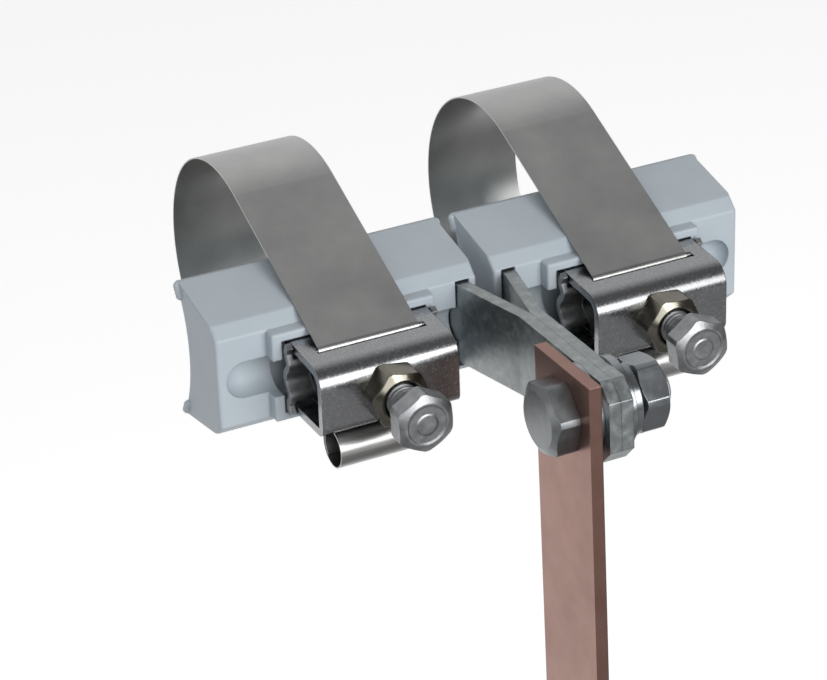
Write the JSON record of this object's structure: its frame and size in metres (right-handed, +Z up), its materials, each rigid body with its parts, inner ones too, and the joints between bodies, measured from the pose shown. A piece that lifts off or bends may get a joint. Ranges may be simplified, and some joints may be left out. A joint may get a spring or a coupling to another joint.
{
  "type": "earthing pipe clamp",
  "caption": "Earthing clamp with moulded saddles, steel tension bands tightened by screw heads, and contact lugs bolted to a copper conductor strip.",
  "frame": {"origin": "centre of the gripped bore, in the middle plane between the two saddles", "axes": "+X along the bore axis, -Y out of the bore towards the tension screws, +Z up, away from the conductor strip's free end"},
  "size_m": [0.1376, 0.1457, 0.1162],
  "materials": {
    "saddle_plastic": "matt moulded, pale blue grey",
    "stainless_sheet": "rolled stainless steel",
    "stainless_parts": "cold-formed stainless steel",
    "zinc_plate": "bright zinc plate",
    "tinned_lug": "mottled zinc coating",
    "copper": "dull bare copper"
  },
  "bodies": {
    "clamp": {"left_saddle": "saddle_plastic", "right_saddle": "saddle_plastic", "left_lug": "tinned_lug", "right_lug": "tinned_lug", "left_band": "stainless_sheet", "right_band": "stainless_sheet", "left_pressure_plate": "stainless_sheet", "right_pressure_plate": "stainless_sheet", "strip_washer": "zinc_plate", "connection_bolt": "zinc_plate", "nut_washer": "zinc_plate"},
    "left_head": {"left_head": "stainless_sheet", "left_weld_nut": "stainless_parts"},
    "right_head": {"right_head": "stainless_sheet", "right_weld_nut": "stainless_parts"},
    "left_screw": {"left_tension_screw": "stainless_parts"},
    "right_screw": {"right_tension_screw": "stainless_parts"},
    "strip": {"conductor_strip": "copper"},
    "spring": {"spring_washer": "zinc_plate"},
    "nut": {"connection_nut": "zinc_plate"}
  },
  "joints": [
    {"name": "left_screw_turn", "type": "hinge", "parent": "clamp", "child": "left_screw", "pos_m": [-0.03415, -0.067, 0], "axis": [0, 1, 0], "range_deg": [-1080, 0]},
    {"name": "left_head_slide", "type": "slide", "parent": "clamp", "child": "left_head", "axis": [0, -1, 0], "range_m": [-0.00375, 0], "deforming": ["left_band"]},
    {"name": "right_screw_turn", "type": "hinge", "parent": "clamp", "child": "right_screw", "pos_m": [0.03595, -0.067, 0], "axis": [0, 1, 0], "range_deg": [-1080, 0]},
    {"name": "right_head_slide", "type": "slide", "parent": "clamp", "child": "right_head", "axis": [0, -1, 0], "range_m": [-0.00375, 0], "deforming": ["right_band"]},
    {"name": "strip_swing", "type": "hinge", "parent": "clamp", "child": "strip", "pos_m": [-0.00655, -0.09945, 0.00263], "axis": [1, 0, 0], "range_deg": [-225, 45]},
    {"name": "nut_travel", "type": "slide", "parent": "clamp", "child": "spring", "axis": [1, 0, 0], "range_m": [0, 0.006]},
    {"name": "nut_turn", "type": "hinge", "parent": "spring", "child": "nut", "pos_m": [0.0115, -0.09945, 0.00263], "axis": [1, 0, 0], "range_deg": [0, 1440]}
  ],
  "couplings": [
    {"joint": "left_head_slide", "follows": "left_screw_turn", "m_per_rad": 0.00019894},
    {"joint": "right_head_slide", "follows": "right_screw_turn", "m_per_rad": 0.00019894},
    {"joint": "nut_travel", "follows": "nut_turn", "m_per_rad": 0.00023873}
  ]
}
